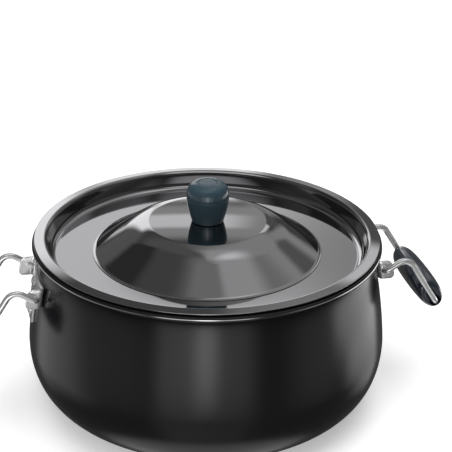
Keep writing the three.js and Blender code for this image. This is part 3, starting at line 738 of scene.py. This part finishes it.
class COOKER_OT_knob(Operator):
    """Spin the knob's body, its domed cap and the round inset"""

    bl_idname = "cooker.knob"
    bl_label = "Knob"

    def execute(self, context):
        knob = context.scene.cooker_knob
        base, wide, edge = knob.base_radius, knob.radius, knob.edge
        disc_z = DOME_BOX[1][2]
        foot_z = KNOB_BOX[0][2]
        split_z, top_z = disc_z + knob.split, disc_z + knob.height
        hollow_z = foot_z + 0.0008
        third = knob.split / 3
        lower, upper = Vector((base, foot_z + edge)), Vector((wide, split_z - edge))
        swell = Vector((base + knob.bulge, foot_z + third))
        flare = Vector((wide - edge, split_z - third))
        side = []
        for i in range(1, KNOB_SIDE_STEPS):
            s = i / KNOB_SIDE_STEPS
            start, middle, end = lower.lerp(swell, s), swell.lerp(flare, s), flare.lerp(upper, s)
            side.append(start.lerp(middle, s).lerp(middle.lerp(end, s), s))
        socket = knob.spigot_radius + FIT_GAP
        socket_z = split_z - knob.spigot_length - FIT_GAP
        waist = [
            (0.0, hollow_z),
            (base - 4 * edge, hollow_z),
            *rounded((base, foot_z), (-3 * edge, 0.0), (0.0, edge), 5),
            *side,
            *rounded((wide, split_z), (0.0, -edge), (-edge, 0.0), 4),
            (socket, split_z),
            (socket, socket_z),
            (0.0, socket_z),
        ]
        bottom = split_z + SEAT_GAP
        spigot_z = bottom - knob.spigot_length
        recess, recess_z = knob.inset_radius + FIT_GAP, top_z - knob.inset_depth
        plate_z = top_z - SEAT_GAP
        brow = (wide - knob.brow, top_z - knob.crown)
        cap = [
            (0.0, spigot_z),
            (knob.spigot_radius, spigot_z),
            (knob.spigot_radius, bottom),
            *rounded((wide, bottom), (-edge, 0.0), (0.0, edge), 4),
            *bend((wide, bottom + edge), (wide, top_z - 2 * knob.crown), brow, 14)[1:],
            *bend(brow, (wide - 2 * knob.brow, plate_z), (recess + edge, top_z), 14)[1:],
            *rounded((recess, top_z), (edge, 0.0), (0.0, -edge), 4)[1:],
            (recess, recess_z),
            (0.0, recess_z),
        ]
        plate = [
            (0.0, recess_z + SEAT_GAP),
            (knob.inset_radius, recess_z + SEAT_GAP),
            *rounded((knob.inset_radius, plate_z), (0.0, SEAT_GAP - edge), (-edge, 0.0), 4),
            (0.0, plate_z),
        ]
        for name, outline, node in (
            ("knob_waist", waist, "knob_body"),
            ("knob_crown", cap, "knob_cap"),
            ("knob_plate", plate, "knob_inset"),
        ):
            bm = spun(outline, KNOB_STEPS, closed=False)
            piece(name, bm, "lid", "navy_satin", node)
        return {"FINISHED"}


# ---- brackets and rivets

def tab_middle(handle):
    """Level of the tab's middle from the pivot; its top is flush with the band's."""
    return (handle.band_height - handle.tab_height) / 2


def bracket_blank(handle, tip):
    """The bracket's flat outline in Y and Z about the pivot: a band over a hanging tab."""
    tab, band = handle.tab_width / 2, handle.band_height / 2
    bottom = tab_middle(handle) - handle.tab_height / 2
    corner, ear = handle.corner, handle.ear_round
    half = [
        *arc((tab - corner, bottom + corner), corner, -90, 0, 6),
        Vector((tab, -band)),
        *arc((tip - ear, ear - band), ear, -90, 0, 8),
        *arc((tip - ear, band - ear), ear, 0, 90, 8),
    ]
    return half + [Vector((-place.x, place.y)) for place in reversed(half)]


def folded(handle, pot, y, z, out):
    """Where a point of the flat bracket lies once folded round the pot."""
    level = PIVOT[2] + z
    skin = wall_radius(pot, level) + FIT_GAP + out
    ear_y = handle.ear_span / 2 - handle.sheet + out
    fold = handle.ear_fold
    side = 1.0 if y >= 0 else -1.0
    run = abs(y)
    turn_at = (ear_y - fold) / skin
    flat = turn_at * skin
    if run <= flat:
        turn = run / skin
        return Vector((skin * cos(turn), side * skin * sin(turn), level))
    along = Vector((-sin(turn_at), cos(turn_at)))
    outward = Vector((cos(turn_at), sin(turn_at)))
    bend_length = fold * (pi / 2 + turn_at)
    swing = min(run - flat, bend_length) / fold
    place = outward * (skin + fold * (1 - cos(swing))) + along * (fold * sin(swing))
    if run - flat > bend_length:
        place += Vector((1.0, 0.0)) * (run - flat - bend_length)
    return Vector((place.x, side * place.y, level))


def ear_run(handle, pot):
    """Length of the flat blank from its middle to the tip of an ear."""
    middle = handle.sheet / 2
    skin = wall_radius(pot, PIVOT[2]) + FIT_GAP + middle
    turn_at = (handle.ear_span / 2 - middle - handle.ear_fold) / skin
    run = turn_at * skin + handle.ear_fold * (pi / 2 + turn_at)
    return run + PIVOT[0] + handle.ear_reach - folded(handle, pot, run, 0.0, middle).x


def bracket_mesh(handle, pot):
    """The bracket as one folded sheet, on the +X side."""
    tip = ear_run(handle, pot)
    bm = bmesh.new()
    outline = bracket_blank(handle, tip)
    bm.faces.new([bm.verts.new((0.0, place.x, place.y)) for place in outline])
    count = ceil(tip / SHEET_STEP)
    for i in range(-count, count + 1):
        cut(bm, (0, i * SHEET_STEP, 0), (0, 1, 0))
    for i in range(1, TAB_LEVELS):
        share = i / TAB_LEVELS - 0.5
        cut(bm, (0, 0, tab_middle(handle) + share * handle.tab_height), (0, 0, 1))
    for vert in bm.verts:
        vert.co = folded(handle, pot, vert.co.y, vert.co.z, handle.sheet / 2)
    bmesh.ops.recalc_face_normals(bm, faces=bm.faces)
    return bm


def thicken(made, thickness):
    """Gives a sheet its thickness and rounds its edges."""
    solidify = made.modifiers.new("thickness", "SOLIDIFY")
    solidify.thickness = thickness
    solidify.offset = 0.0
    bevel = made.modifiers.new("edges", "BEVEL")
    bevel.width = SHEET_ROUNDING
    bevel.segments = 2
    bevel.limit_method = "ANGLE"
    bevel.angle_limit = radians(50)


def rivet_mesh(handle, pot, level):
    """One rivet, standing square to the wall on the +X side."""
    head, dome = handle.rivet_head, handle.rivet_dome
    seat = FIT_GAP + handle.sheet
    inside = -pot.wall - SEAT_GAP
    tail, tail_edge = 0.0012, 0.9
    shank, fullness = 0.002, 0.86
    outline = [
        (0.0, inside - tail),
        (head * tail_edge, inside - tail),
        (head, inside - tail / 2),
        (head, inside),
        (shank, inside),
        (shank, seat),
        (head, seat),
        *bend((head, seat + dome / 4), (head * fullness, seat + dome), (0.0, seat + dome), 10),
    ]
    bm = spun(outline, RIVET_STEPS, closed=False)
    reach = 0.001
    below, above = wall_radius(pot, level - reach), wall_radius(pot, level + reach)
    place = Matrix.Translation((wall_radius(pot, level), 0.0, level))
    place @= Matrix.Rotation(pi / 2 - atan2(below - above, 2 * reach), 4, "Y")
    bmesh.ops.transform(bm, matrix=place, verts=bm.verts)
    return bm


class COOKER_OT_brackets(Operator):
    """Fold the two brackets round the pot and set their rivets"""

    bl_idname = "cooker.brackets"
    bl_label = "Brackets"

    def execute(self, context):
        handle = context.scene.cooker_handle
        pot = context.scene.cooker_pot
        middle = PIVOT[2] + tab_middle(handle)
        for side, turn in SIDES:
            bm = bracket_mesh(handle, pot)
            node = f"{side}_bracket"
            made = piece(f"{side}_ear_plate", bm, "pot", "bright_steel", node, 60.0, turn)
            thicken(made, handle.sheet)
            for name, step in (("upper", 0.5), ("lower", -0.5)):
                bm = rivet_mesh(handle, pot, middle + step * handle.rivet_spacing)
                node = f"{side}_rivet_{name}"
                piece(f"{node}_head", bm, "pot", "bright_steel", node, turn=turn)
        return {"FINISHED"}


# ---- bails and grips

def leg_y(handle):
    return handle.ear_span / 2 + handle.leg_clearance + handle.wire


def cross_bar(handle):
    """Where the cross bar runs, in X and Z on the +X side."""
    x = PIVOT[0] + handle.arch_reach + handle.leg * cos(handle.slope)
    z = PIVOT[2] + handle.arch_rise - handle.leg * sin(handle.slope)
    return x, z


def bail_corners(handle):
    """The wire's corners and bend radii on the +X side, from one tip to the other."""
    bar_x, bar_z = cross_bar(handle)
    arch_x, arch_z = PIVOT[0] + handle.arch_reach, PIVOT[2] + handle.arch_rise
    tip_y = handle.ear_span / 2 - handle.sheet - handle.tip
    far = leg_y(handle)
    half = [
        (Vector((PIVOT[0], tip_y, PIVOT[2])), 0.0),
        (Vector((PIVOT[0], far, PIVOT[2])), handle.leg_clearance + handle.wire),
        (Vector((arch_x, far, arch_z)), handle.arch_bend),
        (Vector((bar_x, far, bar_z)), handle.corner_bend),
    ]
    return half + [(Vector((p.x, -p.y, p.z)), r) for p, r in reversed(half)]


class COOKER_OT_bails(Operator):
    """Bend the two wire bails"""

    bl_idname = "cooker.bails"
    bl_label = "Bails"

    def execute(self, context):
        handle = context.scene.cooker_handle
        for side, turn in SIDES:
            bm = bmesh.new()
            wire_along(bm, bail_corners(handle), handle.wire)
            name = f"{side}_bail"
            piece(name, bm, name, "bright_steel", f"{name}_wire", turn=turn)
        return {"FINISHED"}


def grip_frame(handle):
    """The grip's own frame: X along the legs, Y out of its face, Z along the cross bar."""
    along = Vector((cos(handle.slope), 0.0, -sin(handle.slope)))
    face = Vector((sin(handle.slope), 0.0, cos(handle.slope)))
    bar_x, bar_z = cross_bar(handle)
    middle = Vector((bar_x, 0.0, bar_z)) + along * (handle.grip_lip - handle.grip_depth / 2)
    turn = Matrix((along, face, Vector((0.0, -1.0, 0.0)))).transposed().to_4x4()
    return Matrix.Translation(middle) @ turn


def groove_limit(handle, u, v):
    """How far from its middle the grip may reach beside the leg, in its own frame, or None."""
    bar_u = handle.grip_depth / 2 - handle.grip_lip
    turn_u = bar_u - handle.corner_bend
    near = min(max((u - turn_u + handle.corner_bend) / handle.corner_bend, 0.0), 1.0)
    room = handle.wire + FIT_GAP
    room += (handle.pocket - room) * near * near * (3 - 2 * near)
    if abs(v) >= room or u > bar_u:
        return None
    axis = leg_y(handle)
    if u > turn_u:
        axis += sqrt(handle.corner_bend**2 - (u - turn_u) ** 2) - handle.corner_bend
    return axis - sqrt(room * room - v * v)


def grip_mesh(handle, side):
    """Half of a grip with its groove for the legs: 1 is the outer half, -1 the inner one."""
    bm = bmesh.new()
    bmesh.ops.create_circle(bm, radius=1.0, segments=GRIP_SIDES, cap_ends=False)
    edges = bm.edges[:]
    bmesh.ops.translate(bm, verts=bm.verts, vec=(0, 0, -1))
    for _ in range(GRIP_RINGS):
        edges = extruded(bm, edges, (0, 0, 2 / GRIP_RINGS))
    # Sections shrink slowly at first towards the ends, which come out blunt and rounded.
    for vert in bm.verts:
        turn = max(-1.0, min(1.0, vert.co.z)) * pi / 2
        plump = abs(cos(turn)) ** handle.grip_flat
        u = vert.co.x * handle.grip_depth / 2 * plump
        v = vert.co.y * handle.grip_thickness / 2 * plump
        run = sin(turn) * handle.grip_length / 2
        limit = groove_limit(handle, u, v)
        if limit is not None and abs(run) > limit:
            run = limit if run > 0 else -limit
        vert.co = Vector((u, v, run))
    bmesh.ops.remove_doubles(bm, verts=bm.verts, dist=MERGE)
    cut(bm, (0, side * SEAT_GAP / 2, 0), (0, -side, 0), clear=True)
    bmesh.ops.holes_fill(bm, edges=[e for e in bm.edges if e.is_boundary], sides=0)
    bmesh.ops.recalc_face_normals(bm, faces=bm.faces)
    bmesh.ops.transform(bm, matrix=grip_frame(handle), verts=bm.verts)
    return bm


class COOKER_OT_grips(Operator):
    """Shape the two halves of each grip"""

    bl_idname = "cooker.grips"
    bl_label = "Grips"

    def execute(self, context):
        handle = context.scene.cooker_handle
        for side, turn in SIDES:
            for name, sign in (("outer", 1), ("inner", -1)):
                bm = grip_mesh(handle, sign)
                node = f"{side}_grip_{name}"
                piece(f"{node}_shell", bm, f"{side}_bail", "navy_gloss", node, 60.0, turn)
        return {"FINISHED"}


# ---- small CAD pieces

NODE_FINISHES = {
    "knob_seat_washer": "black_rubber",
    "knob_insert": "turned_brass",
    "knob_screw": "satin_steel",
    "knob_screw_washer": "satin_steel",
    **{f"{side}_grip_screw_{n}": "satin_steel" for side, _ in SIDES for n in (1, 2)},
}


class COOKER_OT_small_parts(Operator):
    """Give the fasteners and the bush their finishes"""

    bl_idname = "cooker.small_parts"
    bl_label = "Small Parts"

    def execute(self, context):
        for node, finish in NODE_FINISHES.items():
            slots = frame["nodes"][node].data.materials
            slots.clear()
            slots.append(material_named(finish))
        return {"FINISHED"}


# ---- studio

def add_lamp(name, place, width, radiance):
    """A square soft lamp aimed at the pot, which neither the camera nor a reflection sees."""
    lamp = bpy.data.lights.new(name, "AREA")
    lamp.size = width
    lamp.energy = radiance * pi * width * width
    made = new_object(name, lamp)
    made.location = place
    made.rotation_euler = (LAMP_AIM - place).to_track_quat("-Z", "Y").to_euler()
    made.visible_camera = False
    made.visible_glossy = False


def around(turn, rise, distance):
    """A place round the pot: turn from the camera's side to the right, rise above level."""
    azimuth = bpy.context.scene.cooker_studio.azimuth + radians(turn)
    level = cos(radians(rise)) * distance
    return Vector((sin(azimuth) * level, -cos(azimuth) * level, sin(radians(rise)) * distance))


LAMP_AIM = Vector((0.0, 0.0, 0.1))
FLOOR_RADIUS = 6.0
# The floor's lift grows from the first distance to the second.
LIFT_FROM, LIFT_TO = 0.5, 2.2
WHITE = (1.0, 1.0, 1.0, 1.0)

# What reflections see: soft-edged regions of the room, each laid over those before it. A row
# gives, in degrees, the turn to the right of straight behind the pot (from, to), the softness of
# those two edges, the rise above level (from, to) and the softness of both edges, and last the
# brightness.
ROOM = (
    # ceiling, and the dark behind the camera
    (-190, 190, 1, 1, 46, 95, 9, 0.29),
    (-110, -4, 12, 14, 40, 80, 9, 0.14),
    (-100, -44, 12, 8, 46, 74, 6, 0.1),
    (2, 62, 12, 8, 31, 82, 6, 0.42),
    (-4, 110, 12, 10, 59, 85, 6, 0.53),
    (24, 62, 12, 14, 64, 79, 7, 1.0),
    (122, 190, 12, 1, -20, 74, 7, 0.05),
    (-190, -104, 1, 12, -20, 74, 7, 0.05),
    (132, 190, 10, 1, 54, 74, 6, 0.8),
    (-190, -118, 1, 10, 54, 74, 6, 0.8),
    # dark stand and pale wall on the left
    (-80, -43, 5, 3, 24, 52, 4, 0.045),
    (-44, -24, 3, 4, 10, 33, 4, 0.16),
    # backdrop
    (-14, 10, 3, 2, 18.5, 31, 2, 0.42),
    (-10, 3.5, 2, 2.5, 22.3, 26.9, 0.7, 0.95),
    (-24, -8, 4, 2, 3, 29.5, 3, 1.5),
    (-8, 3.5, 2, 1.5, -6, 16.5, 2, 1.35),
    (4, 10, 1, 2, 14, 19.5, 1.5, 0.45),
    (3.5, 14, 2, 3, -4, 14, 3, 0.3),
    (9, 20, 1.5, 4, 14, 25, 2, 0.13),
    (22, 38, 4, 5, 10, 34, 4, 0.4),
    (38, 60, 5, 5, 8, 34, 4, 0.16),
    (8.5, 15, 1, 2, 25, 31.5, 1, 0.95),
    (-13, 1.5, 1.5, 1.5, 31.5, 39, 1.5, 0.1),
    # pale floor straight below
    (-190, 190, 1, 1, -95, -62, 6, 0.85),
    # light panels at the foot of the room, beside and before the pot
    (41, 94, 1.5, 7, -18, -5, 4, 2.5),
    (41, 81, 1.5, 6, -25, -17, 4, 2.1),
    (41, 68, 1.5, 7, -34, -24, 5, 1.0),
    (94, 125, 8, 14, -24, -3, 6, 0.45),
    (-102, -46, 16, 6, -31, -7, 9, 0.85),
    (-142, -96, 12, 14, -24, 0, 7, 0.35),
    (-190, -149, 1, 7, -58, -24, 7, 0.38),
    (151, 190, 8, 1, -58, -24, 7, 0.32),
    (-190, -150, 1, 5, -22, 7, 7, 1.25),
    (151, 190, 7, 1, -22, 7, 7, 0.95),
    (-190, -174, 1, 5, -18, 6, 7, 3.8),
    (174, 190, 5, 1, -18, 6, 7, 3.8),
)


def build_world(studio):
    """The room drawn from its regions; the camera sees white all round."""
    world = bpy.data.worlds.new("studio")
    bpy.context.scene.world = world
    world.use_nodes = True
    tree = world.node_tree
    place = tree.nodes.new("ShaderNodeTexCoord").outputs["Generated"]
    facing = {"Vector": place, "Rotation": (0.0, 0.0, -studio.azimuth)}
    split = added(tree, "SeparateXYZ", {0: added(tree, "Mapping", facing).outputs["Vector"]})
    turn = combined(tree, "ARCTAN2", split.outputs["X"], split.outputs["Y"])
    rise = combined(tree, "ARCSINE", split.outputs["Z"])
    level = studio.room
    for turn_from, turn_to, soft_from, soft_to, rise_from, rise_to, soft, brightness in ROOM:
        inside = 1.0
        for value, start, end, first, last in (
            (turn, turn_from, turn_to, soft_from, soft_to),
            (rise, rise_from, rise_to, soft, soft),
        ):
            for edge, ease, low, high in ((start, first, 0.0, 1.0), (end, last, 1.0, 0.0)):
                limits = radians(edge - ease), radians(edge + ease)
                share = ramped(tree, value, *limits, low, high)
                inside = combined(tree, "MULTIPLY", inside, share)
        more = combined(tree, "SUBTRACT", brightness * studio.panels, level)
        level = combined(tree, "ADD", level, combined(tree, "MULTIPLY", inside, more))
    seen = tree.nodes.new("ShaderNodeLightPath").outputs["Is Camera Ray"]
    back = tree.nodes["Background"]
    back.inputs["Color"].default_value = WHITE
    tree.links.new(combined(tree, "MAXIMUM", level, seen), back.inputs["Strength"])


def build_floor(studio, base):
    """A pale floor that the camera sees lifted to white, with the object's shadow kept."""
    bm = bmesh.new()
    bmesh.ops.create_circle(bm, cap_ends=True, radius=FLOOR_RADIUS, segments=64)
    mesh = bpy.data.meshes.new("studio_floor")
    bm.to_mesh(mesh)
    bm.free()
    sockets = {"Roughness": 0.9, "Specular IOR Level": 0.0, "Emission Color": WHITE}
    material, tree, shader = shader_of("studio_floor", base, sockets)
    rays = tree.nodes.new("ShaderNodeLightPath").outputs
    place = tree.nodes.new("ShaderNodeTexCoord").outputs["Object"]
    away = added(tree, "VectorMath", {0: place}, operation="LENGTH").outputs["Value"]
    amount = ramped(tree, away, LIFT_FROM, LIFT_TO, studio.lift, 1.0)
    lift = combined(tree, "MULTIPLY", rays["Is Camera Ray"], amount)
    tree.links.new(lift, shader.inputs["Emission Strength"])
    # Reflections look through the floor at the room's light panels below level.
    clear = tree.nodes.new("ShaderNodeBsdfTransparent").outputs[0]
    choice = {0: rays["Is Glossy Ray"], 1: shader.outputs[0], 2: clear}
    surface = added(tree, "MixShader", choice).outputs[0]
    tree.links.new(surface, tree.nodes["Material Output"].inputs["Surface"])
    mesh.materials.append(material)
    floor = new_object("studio_floor", mesh)
    floor.location.z = -2 * SEAT_GAP


def build_camera(studio, target):
    """The camera, turned round the target and aimed a little beside and above it."""
    back = around(0.0, degrees(studio.elevation), 1.0)
    facing = (-back).to_track_quat("-Z", "Y").to_matrix()
    data = bpy.data.cameras.new("camera")
    data.sensor_width = 36.0
    data.lens = studio.lens
    camera = new_object("camera", data)
    place = target + back * studio.distance
    aim = target + facing @ Vector((studio.aim_right, studio.aim_up, 0.0))
    turn = (aim - place).to_track_quat("-Z", "Y").to_matrix()
    turn @= Matrix.Rotation(studio.roll, 3, "Z")
    camera.matrix_world = Matrix.Translation(place) @ turn.to_4x4()
    bpy.context.scene.camera = camera


class COOKER_OT_stage(Operator):
    """Set the floor, the room, the lamps and the camera"""

    bl_idname = "cooker.stage"
    bl_label = "Stage"

    def execute(self, context):
        scene = context.scene
        build_floor(scene.cooker_studio, scene.cooker_colours.floor)
        build_world(scene.cooker_studio)
        # The lamps light the colours evenly, and the room makes the reflections.
        add_lamp("top", Vector((0.0, 0.0, 2.4)), 2.4, 2.9)
        add_lamp("front", around(-20, 38, 2.2), 1.6, 1.6)
        build_camera(scene.cooker_studio, Vector((0.0, 0.0, flange_level(scene.cooker_lid))))
        scene.view_settings.view_transform = "Standard"
        return {"FINISHED"}


# ---- panel and run

STEPS = (
    COOKER_OT_pot_shell,
    COOKER_OT_base_plate,
    COOKER_OT_lid,
    COOKER_OT_gasket,
    COOKER_OT_knob,
    COOKER_OT_brackets,
    COOKER_OT_bails,
    COOKER_OT_grips,
    COOKER_OT_small_parts,
    COOKER_OT_stage,
)


class COOKER_PT_sidebar(Panel):
    """Lists the cooker's sizes and the steps that build it"""

    bl_idname = "COOKER_PT_sidebar"
    bl_label = "Cooker"
    bl_space_type = "VIEW_3D"
    bl_region_type = "UI"
    bl_category = "Cooker"

    def draw(self, context):
        layout = self.layout
        for name, group in GROUPS.items():
            column = layout.column(align=True)
            column.label(text=group.__doc__)
            for field in group.__annotations__:
                column.prop(getattr(context.scene, name), field)
        for step in STEPS:
            layout.operator(step.bl_idname)


CLASSES = (*GROUPS.values(), *STEPS, COOKER_PT_sidebar)


def register():
    for made in CLASSES:
        bpy.utils.register_class(made)
    for name, group in GROUPS.items():
        setattr(bpy.types.Scene, name, PointerProperty(type=group))


def unregister():
    for name in GROUPS:
        delattr(bpy.types.Scene, name)
    for made in reversed(CLASSES):
        bpy.utils.unregister_class(made)


def main():
    register()
    for step in STEPS:
        family, name = step.bl_idname.split(".")
        getattr(getattr(bpy.ops, family), name)()
    bpy.context.view_layer.update()


if __name__ == "__main__":
    main()
